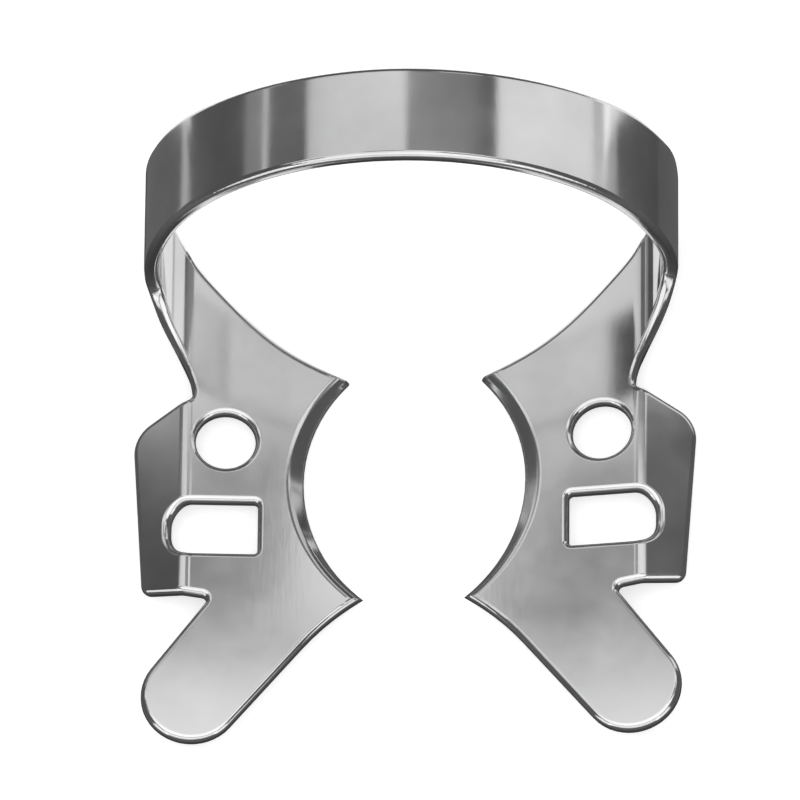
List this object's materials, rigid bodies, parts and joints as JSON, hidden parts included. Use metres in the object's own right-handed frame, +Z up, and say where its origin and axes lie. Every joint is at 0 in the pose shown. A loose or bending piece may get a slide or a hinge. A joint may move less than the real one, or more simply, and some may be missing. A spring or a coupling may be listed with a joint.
{
  "type": "rubber dam clamp",
  "caption": "Winged rubber dam clamp of bent spring steel: a high bow joins jaws with arched gripping edges, forceps holes, slotted wings and round front lobes to hold a dam sheet on a molar.",
  "frame": {"origin": "centre of the bounding box, on the surface the clamp rests on", "axes": "+X across the tooth, +Y from the front lobes back to the bow, +Z up, the way the bow stands"},
  "size_m": [0.0244, 0.0262, 0.0143],
  "materials": {
    "steel": "polished, with a faint grain along the strip"
  },
  "bodies": {
    "root": {"clamp_body": "steel"}
  },
  "joints": []
}
